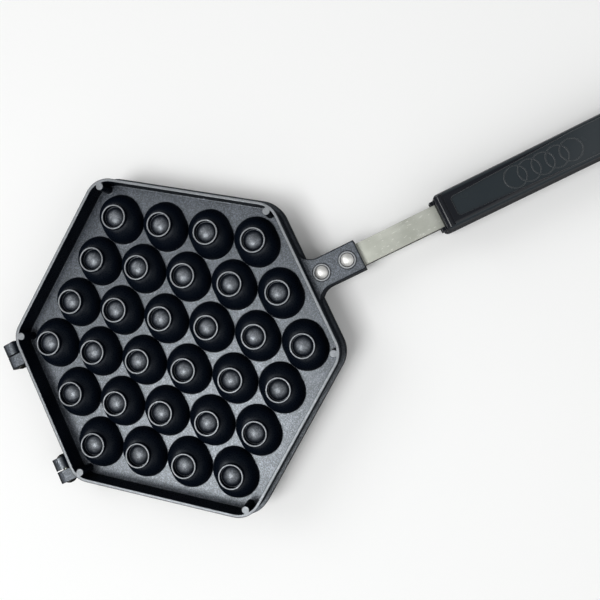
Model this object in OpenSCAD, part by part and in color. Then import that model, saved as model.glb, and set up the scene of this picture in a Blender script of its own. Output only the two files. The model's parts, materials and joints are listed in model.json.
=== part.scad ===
// Egg waffle pan: two identical hinged castings with riveted steel strips and moulded grips.
// Rest frame: +X towards the grips, +Z up, the lower casting stands on z = 0.

/* [Pan] */
// Centre to the rim's outer face, along the handle
side_x = 85; // [80:1:95]
// Centre to the rim's outer face, square to the slanted sides
slant_d = 86.2; // [82:0.5:98]
// Turn of the slanted sides' normals away from the handle axis
slant_turn = 54.34; // [50:0.5:60]
// Corner radius of the rim's outer face
corner_r = 14; // [8:1:20]
// Rim wall thickness
rim_w = 1.7; // [1.4:0.1:2.6]
// Flange outside the rim at the joint face
flange_out = 2.3; // [1:0.1:4]
// Flange height
flange_h = 3.2; // [2:0.1:5]
// Width of the sealing lip inside the rim's outer face
lip_in = 3.4; // [2.6:0.1:5]
// Half of the gap left between the two closed lips
lip_gap = 0.15; // [0.05:0.05:0.5]
// Half of the thickness of the waffle sheet between the eggs
sheet_half = 1.6; // [1:0.1:3]
// Thickness of the casting's web
web_t = 2.5; // [1.5:0.1:4]
// Rim height above the web's outer face
rim_h = 12.2; // [11.9:0.1:16]
// Radius of the round posts inside the rim's corners
post_r = 2.2; // [1.5:0.1:3]
// Rim's outer face to the posts' centres
post_in = 3.4; // [2.8:0.1:3.6]

/* [Egg cells] */
// Column spacing along the handle
pitch_x = 22.3; // [22:0.1:24]
// Cell spacing across the handle
pitch_y = 32; // [31:0.5:34]
// Cells in the middle column
mid_cells = 6; // [5:1:6]
// Radius of a bump
bump_r = 12.5; // [11.5:0.1:12.6]
// Half length of a bump along its long axis
bump_half = 14.7; // [14:0.1:15]
// Wall of a bump at its top
bump_wall = 2.8; // [2:0.1:3.2]
// Height of the bump's centre above the joint plane
bump_z = 2.9; // [2.2:0.1:3.5]
// Radius of the round cap inside each ring foot
cap_r = 10; // [9:0.5:12]
// Bump's top to the cap's top
cap_drop = 0.1; // [0.05:0.05:0.4]
// Centre line radius of the ring foot on each bump
ring_r = 6.65; // [5.5:0.05:7.5]
// Wall of the ring foot
ring_w = 1; // [0.8:0.1:1.6]

/* [Hinges] */
// Hinge axis to pan centre
hinge_x = 96.8; // [95:0.2:102]
// Knuckle outer radius
knuckle_r = 5.8; // [4.5:0.1:6.5]
// Knuckle width
knuckle_w = 7.2; // [6:0.1:7.5]
// End of the hinge side to the outer knuckle's middle
knuckle_inset = 3.805; // [3.6:0.005:8]
// Gap between the knuckles of the two castings
knuckle_gap = 0.7; // [0.2:0.1:2]
// Hinge pin radius
pin_r = 2; // [1.5:0.1:2.5]
// Radial clearance of the hinge pins
pin_play = 0.05; // [0.02:0.01:0.1]
// Hinge pin head radius
pin_head_r = 3.2; // [2.8:0.1:4]
// Hinge pin head height
pin_head_h = 1.4; // [0.8:0.1:2]
// End play left beside the moving knuckle
pin_end = 0.1; // [0.05:0.05:0.3]

/* [Handle tab] */
// Pan centre to the tab's end
tab_end = 115.8; // [114:0.2:118]
// Tab width
tab_w = 17; // [16:0.5:22]
// Tab top above the joint plane
tab_z = 8; // [6:0.5:10]
// Radius of the fillets at the tab's root
root_r = 9; // [4:0.5:12]
// Pan centre to the inner rivet
rivet_x = 92.8; // [92.6:0.1:94]
// Rivet spacing
rivet_pitch = 15.6; // [14:0.1:17]
// Rivet head radius
rivet_head_r = 4; // [3:0.1:4.5]
// Rivet head height
rivet_head_h = 2.2; // [1.2:0.1:3]
// Rivet shank radius
rivet_r = 2.1; // [1.5:0.1:2.5]
// Radius of the rivets' flush inner ends
rivet_foot_r = 3.25; // [2.6:0.05:4]
// Depth of the flush inner ends
rivet_foot_h = 1.3; // [0.8:0.1:1.8]
// Radius of the raised seat round each rivet head
seat_r = 4.9; // [4.5:0.1:5.5]
// Height of the seat
seat_h = 0.4; // [0.2:0.1:1]

/* [Strip] */
// Strip width
strip_w = 13; // [10:0.5:14]
// Strip thickness
strip_t = 3; // [2:0.1:4]
// Half of the gap between the two closed strips
strip_gap = 0.4; // [0.2:0.1:1]
// Flange's edge to the strip's hidden end in the tab
strip_in = 0.9; // [0.5:0.1:2]
// Grip's end to the strip's end inside it
strip_back = 8; // [6:0.5:20]

/* [Grip] */
// Pan centre to the grip's front
grip_x = 163.4; // [140:0.5:170]
// Grip length
grip_l = 140; // [110:1:160]
// Grip width
grip_w = 20.6; // [19:0.2:26]
// Grip height above the joint plane
grip_h = 12.6; // [11:0.2:15]
// Half of the gap between the two closed grips
grip_gap = 0.3; // [0.2:0.1:0.6]
// Corner radius of the grip's upper edges
grip_r = 3.2; // [1:0.1:4]
// Corner radius of the grip's lower edges
low_r = 1.2; // [0.6:0.1:2]
// Corner radius of the grip's free end, seen from above
end_r = 8; // [4:0.5:9]
// Corner radius of the grip's front, seen from above
front_r = 2.5; // [1.5:0.1:4]
// Radius of the roll across the grip's front
roll_r = 2.6; // [2:0.1:3]
// Height of the roll above the grip's top
roll_h = 1.1; // [0.5:0.1:2]
// Length of the two lugs beside the strip at the grip's front
lug_l = 2; // [1:0.1:3]
// Width of the lugs
lug_w = 2.2; // [1.5:0.1:3]
// Height of the lugs above the joint plane
lug_h = 4; // [3:0.1:6]
// Depth of the sunk panel
panel_d = 0.9; // [0.4:0.1:1.5]
// Grip's front to the panel's front
panel_x = 8; // [7:0.5:12]
// Length of the panel's widening part
panel_l = 67; // [40:1:80]
// Panel's back to the grip's end
panel_back = 10; // [8:0.5:20]
// Half width of the panel at its front
panel_w1 = 5.5; // [4:0.1:6]
// Half width of the panel at its back
panel_w2 = 8.2; // [6.2:0.1:8.2]
// Corner radius of the panel's front
panel_r = 2; // [1:0.1:3]
// Grip's front to the middle of the row of rings
deco_x = 57.6; // [50:0.2:70]
// Radius of each ring in the row on the panel
deco_r = 6.1; // [4:0.1:6.4]
// Spacing of the rings in the row
deco_pitch = 7.6; // [6:0.1:9]
// Width of the rings' lines
deco_w = 0.5; // [0.3:0.1:1]
// Height of the rings' lines above the panel
deco_h = 0.45; // [0.2:0.05:0.8]
// Grip's front to the front screw
screw_front = 18; // [12:0.5:30]
// Grip's end to the back screw
screw_back = 22; // [16:0.5:40]
// Radius of the grip screws' shanks
screw_r = 1.8; // [1.5:0.1:2]
// Length of the grip screws
screw_l = 9; // [7:0.5:9.5]
// Radius of the screws' countersunk heads
screw_head_r = 3.4; // [2.8:0.1:4]
// Height of the screws' heads
screw_head_h = 1.6; // [1:0.1:2]
// Width of the screws' cross slots
slot_w = 0.7; // [0.5:0.1:1]
// Length of the cross slots
slot_l = 4; // [3:0.1:5]
// Depth of the cross slots
slot_d = 0.9; // [0.5:0.1:1.2]

/* [Hidden] */
$fn = 96;
coat_c = [0.13, 0.14, 0.16];
steel_c = [0.72, 0.72, 0.7];
grip_c = [0.06, 0.07, 0.08];

fit = 0.05; // radial play round strips, rivets and screws
proud = 0.01; // arcs stand this far out, so that they cross what they join cleanly
bite = 1; // joined shapes run this far into each other, and cutters this far past a face
web_top = sheet_half + web_t;
half_h = web_top + rim_h;
tab_top = lip_gap + tab_z;
bump_top = bump_z + bump_r;
bump_shift = bump_half - bump_r;
cell_z = sheet_half - 0.2; // the cells' centres lie just inside the web's inner face
cell_r = bump_top - bump_wall - cell_z;
end_x = grip_x + grip_l;
mid_x = (end_x - hinge_x - knuckle_r) / 2;
strip_top = strip_gap + strip_t;
strip_x1 = side_x + flange_out + strip_in;
strip_x2 = end_x - strip_back;
rivet_xs = [rivet_x, rivet_x + rivet_pitch];
screw_xs = [grip_x + screw_front, end_x - screw_back];

// Unit normals of the six sides, counter-clockwise from the handle side
nx = cos(slant_turn);
ny = sin(slant_turn);
side_half = (slant_d - side_x * nx) / ny;
knuckle_out = side_half - knuckle_inset;
knuckle_in = knuckle_out - knuckle_w - knuckle_gap;
normals = [[1, 0], [nx, ny], [-nx, ny], [-1, 0], [-nx, -ny], [nx, -ny]];
dists = [side_x, slant_d, slant_d, side_x, slant_d, slant_d];
// Centres of the corner circles, where the sides moved in by corner_r meet
function meet(i, j) = let (a = normals[i], b = normals[j], p = dists[i] - corner_r,
    q = dists[j] - corner_r, d = a[0] * b[1] - a[1] * b[0])
    [(p * b[1] - q * a[1]) / d, (a[0] * q - b[0] * p) / d];
centres = [for (i = [0:5]) meet(i, (i + 1) % 6)];
cells = [for (k = [-3:3]) for (j = [0:mid_cells - abs(k) - 1])
    [k * pitch_x, (j - (mid_cells - abs(k) - 1) / 2) * pitch_y]];

// The castings

// Right half of the egg's profile: a straight side between two arcs
module egg_profile(r) {
    intersection() {
        union() {
            for (s = [-1, 1]) translate([0, s * bump_shift]) circle(r = r + proud);
            translate([0, -bump_shift]) square([r, 2 * bump_shift]);
        }
        translate([0, -bump_shift - r - bite]) square([r + bite, 2 * (bump_shift + r + bite)]);
    }
}

// Upper half of an egg, turned about Y
module egg(r) {
    rotate([-90, 0, 0]) rotate([0, 0, 180]) rotate_extrude(angle = 180) egg_profile(r);
}

module outline(inset) {
    r = corner_r - inset;
    polygon([for (i = [0:5]) for (n = [normals[i], normals[(i + 1) % 6]]) centres[i] + r * n]);
    for (c = centres) translate(c) circle(r = r + proud);
}

module band(out, in, z1, z2) {
    translate([0, 0, z1]) linear_extrude(z2 - z1) difference() {
        outline(out);
        outline(in);
    }
}

// Foot that a bump stands on when the pan is turned over
module ring_foot() {
    z = bump_top - 3 * bite;
    rotate_extrude() translate([ring_r - ring_w / 2, z]) square([ring_w, half_h - z]);
}

// What is cut away inside a ring foot, to leave a round cap
module cap_cut() {
    difference() {
        translate([0, 0, bump_top - 3 * bite])
            cylinder(r = ring_r - ring_w / 2, h = half_h - bump_top + 4 * bite);
        translate([0, 0, bump_top - cap_drop - cap_r]) sphere(r = cap_r);
    }
}

module post(i) {
    b = normals[i] + normals[(i + 1) % 6];
    p = centres[i] + (corner_r - post_in) * b / norm(b);
    translate([p[0], p[1], web_top - bite]) cylinder(r = post_r, h = half_h - web_top + bite);
}

module tab() {
    w = tab_w / 2;
    translate([0, 0, lip_gap]) {
        linear_extrude(tab_z) {
            translate([side_x - bite, -w]) square([tab_end - side_x + bite, tab_w]);
            for (s = [0, 1]) mirror([0, s]) difference() {
                translate([side_x - bite, w - bite]) square(root_r + bite);
                translate([side_x + root_r, w + root_r]) circle(r = root_r);
            }
        }
        for (x = rivet_xs) translate([x, 0, tab_z - bite])
            cylinder(r = seat_r, h = bite + seat_h);
    }
}

module knuckle(y) {
    translate([-hinge_x, y - knuckle_w / 2, 0]) {
        rotate([-90, 0, 0]) cylinder(r = knuckle_r, h = knuckle_w);
        translate([0, 0, lip_gap])
            cube([hinge_x - side_x + bite, knuckle_w, knuckle_r - lip_gap]);
    }
}

module plate() {
    difference() {
        union() {
            band(-flange_out, lip_in, lip_gap, lip_gap + flange_h);
            band(0, rim_w, lip_gap + bite, half_h);
            translate([0, 0, sheet_half]) linear_extrude(web_t) outline(bite);
            for (i = [0:5]) post(i);
            for (p = cells) translate([p[0], p[1], bump_z]) egg(bump_r);
            for (p = cells) translate([p[0], p[1], 0]) ring_foot();
            tab();
            knuckle(knuckle_in);
            knuckle(-knuckle_out);
        }
        for (p = cells) translate([p[0], p[1], 0]) cap_cut();
        for (p = cells) translate([p[0], p[1], cell_z]) egg(cell_r);
        translate([strip_x1 - fit, -strip_w / 2 - fit, -bite])
            cube([tab_end - strip_x1 + fit + bite, strip_w + 2 * fit, strip_top + bite]);
        for (x = rivet_xs) translate([x, 0, 0])
            cylinder(r = rivet_r + fit, h = tab_top + seat_h + bite);
        for (y = [knuckle_in, -knuckle_out])
            translate([-hinge_x, y - knuckle_w / 2 - bite, 0]) rotate([-90, 0, 0])
                cylinder(r = pin_r + pin_play, h = knuckle_w + 2 * bite);
    }
}

// The fasteners

// A shank with a flush conical foot, or with some play the hole for one
module shank(r, foot_r, foot_h, length, play) {
    cylinder(r1 = foot_r + play, r2 = r + play, h = foot_h);
    cylinder(r = r + play, h = length);
}

// A head cut from a sphere, flat side down
module dome(r, h) {
    s = (r * r + h * h) / (2 * h);
    intersection() {
        translate([0, 0, h - s]) sphere(r = s);
        cylinder(r = r + bite, h = h + bite);
    }
}

module rivet(x) {
    top = tab_top + seat_h;
    translate([x, 0, strip_gap])
        shank(rivet_r, rivet_foot_r, rivet_foot_h, top - strip_gap + rivet_head_h / 4, 0);
    translate([x, 0, top]) dome(rivet_head_r, rivet_head_h);
}

module screw(x) {
    translate([x, 0, strip_gap]) difference() {
        shank(screw_r, screw_head_r, screw_head_h, screw_l, 0);
        for (a = [0, 90]) rotate(a) translate([-slot_l / 2, -slot_w / 2, -bite])
            cube([slot_l, slot_w, bite + slot_d]);
    }
}

// The head beside the moving knuckle stands a little off; s is the pin's side of the handle axis
module hinge_pin(s) {
    y1 = knuckle_in - knuckle_w / 2 - (s > 0 ? pin_end : 0);
    y2 = knuckle_out + knuckle_w / 2 + (s > 0 ? 0 : pin_end);
    translate([-hinge_x, 0, 0]) mirror([0, s > 0 ? 0 : 1, 0]) {
        translate([0, y1, 0]) rotate([-90, 0, 0]) cylinder(r = pin_r, h = y2 - y1);
        translate([0, y1, 0]) rotate([90, 0, 0]) dome(pin_head_r, pin_head_h);
        translate([0, y2, 0]) rotate([-90, 0, 0]) dome(pin_head_r, pin_head_h);
    }
}

// The handle

module strip() {
    difference() {
        translate([strip_x1, -strip_w / 2, strip_gap])
            cube([strip_x2 - strip_x1, strip_w, strip_t]);
        for (x = rivet_xs) translate([x, 0, strip_gap - proud])
            shank(rivet_r, rivet_foot_r, rivet_foot_h, strip_t + bite, fit);
        for (x = screw_xs) translate([x, 0, strip_gap - proud])
            shank(screw_r, screw_head_r, screw_head_h, strip_t + bite, fit);
    }
}

module grip_section() {
    w = grip_w / 2;
    polygon([[-w, grip_gap + low_r], [low_r - w, grip_gap], [w - low_r, grip_gap],
        [w, grip_gap + low_r], [w, grip_h - grip_r], [w - grip_r, grip_h],
        [grip_r - w, grip_h], [-w, grip_h - grip_r]]);
    for (s = [-1, 1]) {
        translate([s * (w - grip_r), grip_h - grip_r]) circle(r = grip_r);
        translate([s * (w - low_r), grip_gap + low_r]) circle(r = low_r);
    }
}

module grip_plan() {
    w = grip_w / 2;
    polygon([[grip_x + front_r, -w], [end_x - end_r, -w], [end_x, end_r - w], [end_x, w - end_r],
        [end_x - end_r, w], [grip_x + front_r, w], [grip_x, w - front_r], [grip_x, front_r - w]]);
    for (s = [-1, 1]) {
        translate([end_x - end_r, s * (w - end_r)]) circle(r = end_r);
        translate([grip_x + front_r, s * (w - front_r)]) circle(r = front_r);
    }
}

module panel_plan() {
    x1 = grip_x + panel_x;
    x2 = x1 + panel_l;
    x3 = end_x - panel_back;
    polygon([[x1 + panel_r, -panel_w1], [x2, -panel_w2], [x3, -panel_w2], [x3, panel_w2],
        [x2, panel_w2], [x1 + panel_r, panel_w1], [x1, panel_w1 - panel_r],
        [x1, panel_r - panel_w1]]);
    for (s = [-1, 1]) translate([x1 + panel_r, s * (panel_w1 - panel_r)]) circle(r = panel_r);
}

// A round line that stays proud of the sunk panel
module deco_ring() {
    difference() {
        cylinder(r = deco_r, h = bite + deco_h);
        translate([0, 0, -bite]) cylinder(r = deco_r - deco_w, h = 3 * bite + deco_h);
    }
}

module grip() {
    floor_z = grip_h - panel_d;
    difference() {
        union() {
            intersection() {
                translate([grip_x, 0, 0]) rotate([90, 0, 90]) linear_extrude(grip_l) grip_section();
                linear_extrude(grip_h + bite) grip_plan();
            }
            translate([grip_x + roll_r + proud, roll_r / 2 - grip_w / 2, grip_h - roll_r + roll_h])
                rotate([-90, 0, 0]) cylinder(r = roll_r, h = grip_w - roll_r);
            for (s = [0, 1]) mirror([0, s])
                translate([grip_x - lug_l, strip_w / 2 + fit, grip_gap])
                    cube([lug_l + front_r, lug_w, lug_h - grip_gap]);
        }
        difference() {
            translate([0, 0, floor_z]) linear_extrude(panel_d + bite) panel_plan();
            for (i = [-2:2]) translate([grip_x + deco_x + i * deco_pitch, 0, floor_z - bite])
                deco_ring();
        }
        translate([grip_x - lug_l - bite, -strip_w / 2 - fit, -bite])
            cube([strip_x2 + fit - grip_x + lug_l + bite, strip_w + 2 * fit, strip_top + bite]);
        for (x = screw_xs) translate([x, 0, strip_gap])
            cylinder(r = screw_r + fit, h = screw_l + 4 * fit);
    }
}

module upper() { translate([-mid_x, 0, half_h]) children(); }
module lower() { translate([-mid_x, 0, half_h]) rotate([180, 0, 0]) children(); }

module upper_plate() color(coat_c) upper() plate();
module lower_plate() color(coat_c) lower() plate();
module upper_strip() color(steel_c) upper() strip();
module lower_strip() color(steel_c) lower() strip();
module upper_grip() color(grip_c) upper() grip();
module lower_grip() color(grip_c) lower() grip();
module upper_rivet_inner() color(steel_c) upper() rivet(rivet_xs[0]);
module upper_rivet_outer() color(steel_c) upper() rivet(rivet_xs[1]);
module lower_rivet_inner() color(steel_c) lower() rivet(rivet_xs[0]);
module lower_rivet_outer() color(steel_c) lower() rivet(rivet_xs[1]);
module hinge_pin_left() color(steel_c) upper() hinge_pin(1);
module hinge_pin_right() color(steel_c) upper() hinge_pin(-1);
module upper_screw_front() color(steel_c) upper() screw(screw_xs[0]);
module upper_screw_back() color(steel_c) upper() screw(screw_xs[1]);
module lower_screw_front() color(steel_c) lower() screw(screw_xs[0]);
module lower_screw_back() color(steel_c) lower() screw(screw_xs[1]);

upper_plate();
lower_plate();
upper_strip();
lower_strip();
upper_grip();
lower_grip();
upper_rivet_inner();
upper_rivet_outer();
lower_rivet_inner();
lower_rivet_outer();
hinge_pin_left();
hinge_pin_right();
upper_screw_front();
upper_screw_back();
lower_screw_front();
lower_screw_back();
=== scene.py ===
import json
import math
import bpy
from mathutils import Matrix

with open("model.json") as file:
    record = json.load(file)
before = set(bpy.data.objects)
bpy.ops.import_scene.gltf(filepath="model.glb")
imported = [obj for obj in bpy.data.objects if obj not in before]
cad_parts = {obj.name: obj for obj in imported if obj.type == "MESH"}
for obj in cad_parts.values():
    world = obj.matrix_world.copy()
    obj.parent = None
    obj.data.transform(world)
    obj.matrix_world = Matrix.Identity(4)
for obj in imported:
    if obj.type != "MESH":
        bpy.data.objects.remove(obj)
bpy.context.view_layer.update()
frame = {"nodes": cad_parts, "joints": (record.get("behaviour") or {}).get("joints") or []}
print("stage: frame loaded")

mm = 0.001
nodes = frame["nodes"]
hingeZ = frame["joints"][0]["pos_m"][2]  # the two castings meet at this height


class Link:  # one node's output, with the operators that shader maths needs
    def __init__(self, paint, socket):
        self.paint = paint
        self.socket = socket

    def __add__(self, other):
        return self.paint.maths("ADD", self, other)

    def __sub__(self, other):
        return self.paint.maths("SUBTRACT", self, other)

    def __rsub__(self, other):
        return self.paint.maths("SUBTRACT", other, self)

    def __mul__(self, other):
        return self.paint.maths("MULTIPLY", self, other)

    __radd__ = __add__
    __rmul__ = __mul__

    def unsigned(self):
        return self.paint.maths("ABSOLUTE", self, 0)

    def clip(self):  # kept between 0 and 1
        return self.paint.node("ShaderNodeClamp", {}, {"Value": self})

    def ramp(self, low, high):  # 0 at low and 1 at high, smooth between
        return self.paint.node("ShaderNodeMapRange", {"interpolation_type": "SMOOTHSTEP"},
                               {"Value": self, "From Min": low, "From Max": high})


class Paint:  # one material and its principled shader
    def __init__(self, name, settings):
        self.material = bpy.data.materials.new(name)
        self.material.use_nodes = True
        self.tree = self.material.node_tree
        self.shader = self.tree.nodes["Principled BSDF"]
        self.feed(self.shader, settings)
        self.place = self.node("ShaderNodeTexCoord", {}, {}, output="Object")
        self.normal = self.node("ShaderNodeNewGeometry", {}, {}, output="Normal")

    def feed(self, node, inputs):
        for key, value in inputs.items():
            socket = node.inputs[key]
            if isinstance(value, Link):
                self.tree.links.new(value.socket, socket)
            else:
                socket.default_value = value

    def node(self, kind, settings, inputs, output=0):
        node = self.tree.nodes.new(kind)
        for key, value in settings.items():
            setattr(node, key, value)
        self.feed(node, inputs)
        return Link(self, node.outputs[output])

    def maths(self, operation, a, b):
        return self.node("ShaderNodeMath", {"operation": operation}, {0: a, 1: b})

    def dot(self, a, b):
        return self.node("ShaderNodeVectorMath", {"operation": "DOT_PRODUCT"}, {0: a, 1: b},
                         output="Value")

    def split(self, vector, axis):
        return self.node("ShaderNodeSeparateXYZ", {}, {0: vector}, output=axis)

    def stretch(self, vector, scale):
        return self.node("ShaderNodeMapping", {}, {"Vector": vector, "Scale": scale})

    def noise(self, vector, scale, detail=3.0, rough=0.5):
        return self.node("ShaderNodeTexNoise", {},
                         {"Vector": vector, "Scale": scale, "Detail": detail, "Roughness": rough})

    def grains(self, vector, scale):  # one random value for each small cell
        colour = self.node("ShaderNodeTexVoronoi", {}, {"Vector": vector, "Scale": scale},
                           output="Color")
        return self.split(colour, "X")

    def mix(self, factor, a, b):
        return self.node("ShaderNodeMix", {"data_type": "RGBA"}, {"Factor": factor, "A": a, "B": b},
                         output="Result")

    def reach(self):  # height above or below the plane where the castings meet
        return (self.split(self.place, "Z") - hingeZ).unsigned()

    def rounding(self, radius, samples=8):  # the normal as if the edges were rounded
        return self.node("ShaderNodeBevel", {"samples": samples}, {"Radius": radius})

    def bump(self, height, strength, depth, normal):
        return self.node("ShaderNodeBump", {}, {"Height": height, "Strength": strength,
                                                "Distance": depth, "Normal": normal})

    def mute(self, factor, colour):  # where the factor is 0 only a matt colour is left, painted shade in place of the reflections
        look = {"Base Color": colour, "Roughness": 0.8, "Specular IOR Level": 0.0}
        plain = self.node("ShaderNodeBsdfPrincipled", {}, look)
        glossy = Link(self, self.shader.outputs[0])
        both = self.node("ShaderNodeMixShader", {}, {0: factor, 1: plain, 2: glossy})
        self.feed(self.tree.nodes["Material Output"], {"Surface": both})

    def finish(self, inputs):
        self.feed(self.shader, inputs)
        return self.material


def coatedCasting():
    look = {
        "flat": (0.012, 0.016, 0.022, 1), "fleck": (0.20, 0.22, 0.265, 1),  # level faces and their grains, the bright grains partly painted glints
        "wall": (0.0025, 0.003, 0.005, 1), "dull": (0.0025, 0.0045, 0.009, 1),  # side faces, shiny and matt: painted shade, darker than the level faces
        "wornAndHighlight": (0.30, 0.31, 0.32, 1),  # the spot faces under the rivets, and painted highlights on the rim, ring and cap tops
        "specular": 1.0, "tint": (0.87, 0.94, 1.0, 1), "roughness": 0.35, "grainGloss": 0.12,
        "grain": 2200, "mottle": 220, "ripple": 900,  # scales of the patterns
        "bump": 0.5, "bumpDepth": 0.12 * mm, "grainHeight": 0.5,
        "edge": 0.75 * mm, "tabEdge": 1.6 * mm,  # radii of the rounded edges
        "level": (0.8, 1.0), "tabLevel": (0.93, 1.0), "rimLevel": (0.86, 1.0),  # how level a face lies
        "sharp": (0.01, 0.25),  # how far an edge turns the rounded normal
        "bright": (0.5, 1.0), "brightShare": 0.8, "cloud": (0.4, 0.8), "cloudShare": 0.12,
        "flange": (3.0 * mm, 3.9 * mm), "flangeShade": 0.45,  # the joint flange is darker than the web
        "tabX": (-15.6 * mm, -15.2 * mm), "seatX": (-13.4 * mm, -12.6 * mm), "seat": (8.25 * mm, 8.35 * mm),
        "rim": (15.3 * mm, 16.1 * mm), "rimHighlight": 0.45,  # painted highlight along the level tops of the rim and rings
        "cap": (14.3 * mm, 15.5 * mm), "capHighlight": 0.2, "capFleckHighlight": 0.25,
        "highlightBase": 0.55, "highlightMottle": 0.6,
        "levelSheen": 0.87, "wallSheen": 0.13, "edgeSheen": 0.2, "seatSheen": 0.6}
    paint = Paint("coatedCasting", {"Specular IOR Level": look["specular"], "Specular Tint": look["tint"]})
    fleck = paint.grains(paint.place, look["grain"])
    mottle = paint.noise(paint.place, look["mottle"], detail=2.0)
    rounded = paint.rounding(look["edge"])
    facing = paint.split(rounded, "Z").unsigned()
    reach = paint.reach()
    along = paint.split(paint.place, "X")
    onTab = along.ramp(*look["tabX"])
    # the tab's edges, rounded wider, count as less level and darken: painted shade along them
    crown = paint.split(paint.rounding(look["tabEdge"]), "Z").unsigned().ramp(*look["tabLevel"])
    shade = look["flangeShade"] + (1 - look["flangeShade"]) * reach.ramp(*look["flange"])
    # where level is low (side faces, rounded edges, the tab's edges and the joint flange) the colour turns
    # to the near-black wall: painted shade
    level = facing.ramp(*look["level"]) * shade * (1 - onTab * (1 - crown))
    # the brighter grains are grain of the coating and painted glints; they show only on level faces
    spark = fleck.ramp(*look["bright"])
    speckle = spark * look["brightShare"] + mottle.ramp(*look["cloud"]) * look["cloudShare"]
    flat = paint.mix(speckle.clip(), look["flat"], look["fleck"])
    edge = (1 - paint.dot(rounded, paint.normal)).ramp(*look["sharp"])
    # painted highlights: lighter lines on the level tops of the rim and rings, and lighter cap tops
    rimHighlight = reach.ramp(*look["rim"]) * facing.ramp(*look["rimLevel"]) * look["rimHighlight"]
    paintedHighlight = rimHighlight + reach.ramp(*look["cap"]) * level * (look["capHighlight"] + spark * look["capFleckHighlight"])
    seat = along.ramp(*look["seatX"]) * reach.ramp(*look["seat"])  # the spot faces under the rivets
    seatAndHighlight = paintedHighlight * (look["highlightBase"] + mottle * look["highlightMottle"]) + seat * facing.ramp(*look["level"])
    colour = paint.mix(seatAndHighlight.clip(), paint.mix(level, look["wall"], flat), look["wornAndHighlight"])
    height = fleck * look["grainHeight"] + paint.noise(paint.place, look["ripple"], detail=2.0)
    # where the sheen share is low, the coating's reflection gives way to the matt near-black dull colour:
    # painted shade on the side faces
    sheen = level * look["levelSheen"] + look["wallSheen"]
    sheen = sheen + edge * look["edgeSheen"] + seat * look["seatSheen"]
    paint.mute(sheen.clip(), look["dull"])
    return paint.finish({"Base Color": colour, "Roughness": look["roughness"] - spark * look["grainGloss"],
                         "Normal": paint.bump(height, look["bump"], look["bumpDepth"], rounded)})


def satinSteel():
    look = {
        "light": (0.55, 0.565, 0.51, 1), "dull": (0.42, 0.435, 0.385, 1),  # two tones of the broad faces
        "cut": (0.012, 0.012, 0.011, 1), "scratch": (0.95, 0.95, 0.9, 1), "scratchShare": 0.35,
        "brush": (30, 900, 900), "cloud": 60, "scuff": (420, 1300, 420),  # scales of the patterns
        "cloudRange": (0.3, 0.7), "scuffRange": (0.66, 0.74),
        "broad": (0.5, 0.9), "broadSheen": 0.9, "cutSheen": 0.1,  # broad faces lie level, the side faces stand and get painted shade
        "roughness": 0.3, "brushRoughness": 0.2, "bump": 0.12, "bumpDepth": 0.05 * mm, "edge": 0.2 * mm}
    paint = Paint("satinSteel", {"Metallic": 1.0})
    brushed = paint.noise(paint.stretch(paint.place, look["brush"]), 1.0, detail=4.0, rough=0.6)
    cloud = paint.noise(paint.place, look["cloud"]).ramp(*look["cloudRange"])
    scuff = paint.noise(paint.stretch(paint.place, look["scuff"]), 1.0, detail=1.0)
    scuff = scuff.ramp(*look["scuffRange"])
    face = paint.split(paint.normal, "Z").unsigned().ramp(*look["broad"])
    colour = paint.mix(scuff * look["scratchShare"], paint.mix(cloud, look["dull"], look["light"]),
                       look["scratch"])
    # the side faces are near-black and lose most of their reflection: painted shade
    paint.mute(face * look["broadSheen"] + look["cutSheen"], look["cut"])
    rounded = paint.rounding(look["edge"], samples=4)
    return paint.finish({"Base Color": paint.mix(face, look["cut"], colour),
                         "Roughness": look["roughness"] + brushed * look["brushRoughness"],
                         "Normal": paint.bump(brushed, look["bump"], look["bumpDepth"], rounded)})


def brightRivet():
    look = {
        "footShade": (0.03, 0.03, 0.03, 1), "grey": (0.8, 0.8, 0.78, 1), "bright": (0.95, 0.95, 0.93, 1),
        "footShadeStart": (8.2 * mm, 8.4 * mm), "footShadeEnd": (8.9 * mm, 9.3 * mm),  # painted shade round the foot of a head
        "cloud": 700, "roughness": 0.46, "cloudRoughness": 0.12,
        "bump": 0.35, "bumpDepth": 0.1 * mm, "edge": 0.2 * mm}
    paint = Paint("brightRivet", {"Metallic": 1.0})
    cloud = paint.noise(paint.place, look["cloud"])
    reach = paint.reach()
    # a dark ring of painted shade where the head meets the tab
    unshaded = 1 - reach.ramp(*look["footShadeStart"]) * (1 - reach.ramp(*look["footShadeEnd"]))
    colour = paint.mix(unshaded, look["footShade"], paint.mix(cloud, look["grey"], look["bright"]))
    rounded = paint.rounding(look["edge"], samples=4)
    return paint.finish({"Base Color": colour,
                         "Roughness": look["roughness"] + cloud * look["cloudRoughness"],
                         "Normal": paint.bump(cloud, look["bump"], look["bumpDepth"], rounded)})


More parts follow.
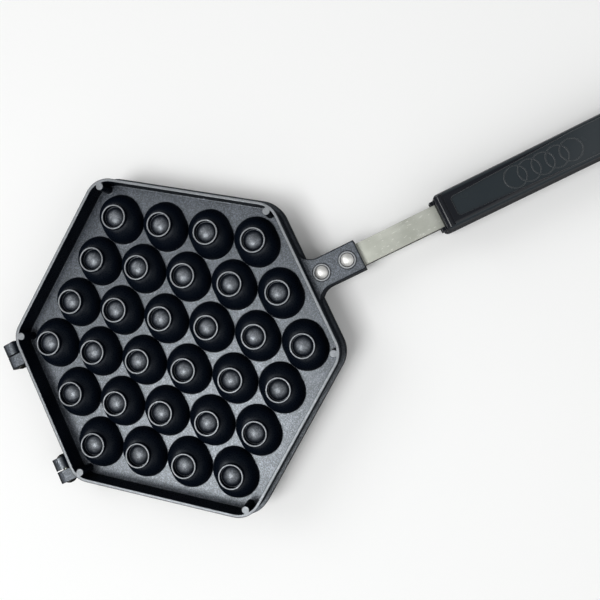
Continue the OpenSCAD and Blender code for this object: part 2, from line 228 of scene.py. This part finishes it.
def mouldedGrip():
    look = {
        "body": (0.002, 0.003, 0.006, 1), "cloud": (0.005, 0.007, 0.011, 1),
        "line": (0.22, 0.23, 0.235, 1), "panel": (0.016, 0.023, 0.028, 1),  # painted highlight on the edges, and the sunk floor
        "coat": 0.3, "coatRoughness": 0.1, "specular": 0.2, "roughness": 0.2, "cloudRoughness": 0.12,
        "clouds": 90, "edge": 0.3 * mm, "sharp": (0.02, 0.3),
        "panelFloor": (11.0 * mm, 11.5 * mm), "gripTop": (12.2 * mm, 12.5 * mm),
        "upper": (0.1, 0.7), "upperSheen": 0.9, "sideSheen": 0.1, "bump": 0.05, "bumpDepth": 0.1 * mm}
    paint = Paint("mouldedGrip", {"Coat Weight": look["coat"], "Coat Roughness": look["coatRoughness"],
                                  "Specular IOR Level": look["specular"]})
    cloud = paint.noise(paint.place, look["clouds"], detail=2.0)
    rounded = paint.rounding(look["edge"])
    edge = (1 - paint.dot(rounded, paint.normal)).ramp(*look["sharp"])
    reach = paint.reach()
    sunk = reach.ramp(*look["panelFloor"]) * (1 - reach.ramp(*look["gripTop"]))
    body = paint.mix(sunk, paint.mix(cloud, look["body"], look["cloud"]), look["panel"])
    face = paint.split(rounded, "Z").unsigned().ramp(*look["upper"])
    # the side faces lose their reflection to the matt body colour: painted shade
    paint.mute(face * look["upperSheen"] + look["sideSheen"], look["body"])
    # lighter colour on every edge: painted highlight
    return paint.finish({"Base Color": paint.mix(edge, body, look["line"]),
                         "Roughness": look["roughness"] + cloud * look["cloudRoughness"],
                         "Normal": paint.bump(cloud, look["bump"], look["bumpDepth"], rounded)})


finishes = {"plate": coatedCasting(), "strip": satinSteel(), "rivet": brightRivet(), "grip": mouldedGrip()}
finishes["pin"] = finishes["strip"]
finishes["screw"] = finishes["rivet"]
for name, node in nodes.items():
    finish = next(finishes[word] for word in finishes if word in name)
    node.data.materials.clear()
    node.data.materials.append(finish)
print("stage: finishes on the castings, steel and grips")


def setFloor():
    table = {"size": 3.0, "grey": (0.925, 0.93, 0.925, 1), "white": (0.95, 0.955, 0.95, 1),
             "cloud": 3, "roughness": 0.7, "specular": 0.1}
    bpy.ops.object.select_all(action="DESELECT")
    bpy.ops.mesh.primitive_plane_add(size=table["size"], location=(0, 0, 0))
    floor = bpy.context.active_object
    floor.name = "floor"
    paint = Paint("paleFloor", {"Roughness": table["roughness"], "Specular IOR Level": table["specular"]})
    soft = paint.noise(paint.place, table["cloud"], detail=1.0)
    floor.data.materials.append(paint.finish({"Base Color": paint.mix(soft, table["grey"], table["white"])}))


def setSky():
    sky = {"light": 0.32, "seen": 0.88}  # past the floor the camera sees near white, and the light stays low
    world = bpy.data.worlds.new("studio")
    bpy.context.scene.world = world
    world.use_nodes = True
    background = world.node_tree.nodes["Background"]
    background.inputs["Color"].default_value = (1, 1, 1, 1)
    path = world.node_tree.nodes.new("ShaderNodeLightPath")
    strength = world.node_tree.nodes.new("ShaderNodeMapRange")
    strength.inputs["To Min"].default_value = sky["light"]
    strength.inputs["To Max"].default_value = sky["seen"]
    world.node_tree.links.new(path.outputs["Is Camera Ray"], strength.inputs["Value"])
    world.node_tree.links.new(strength.outputs[0], background.inputs["Strength"])


def setLamps():
    lamps = {  # place, width of the square and power
        "key": ((-0.60, -0.12, 1.43), 0.6, 12.0),
        "fill": ((0.75, -0.70, 1.3), 1.6, 6.6),
        "window": ((-1.0, 1.1, 1.3), 1.0, 6.5)}
    for name, (place, size, power) in lamps.items():
        bpy.ops.object.light_add(type="AREA", location=place)
        lamp = bpy.context.active_object
        lamp.name = name
        lamp.data.size = size
        lamp.data.energy = power
        lamp.rotation_mode = "QUATERNION"
        lamp.rotation_quaternion = (-lamp.location).to_track_quat("-Z", "Y")  # towards the pan


def setCamera():
    view = {"place": (23.53, -36.2, 369.47), "turn": (0.678, 9.179, -25.530),
            "lens": 37.95, "sensor": 36, "nearest": 0.01}
    bpy.ops.object.camera_add(location=[value * mm for value in view["place"]])
    camera = bpy.context.active_object
    camera.rotation_euler = [math.radians(value) for value in view["turn"]]
    camera.data.lens = view["lens"]
    camera.data.sensor_width = view["sensor"]
    camera.data.clip_start = view["nearest"]
    bpy.context.scene.camera = camera


setFloor()
setSky()
setLamps()
setCamera()
bpy.context.scene.view_settings.view_transform = "Standard"
print("stage: studio and camera set")
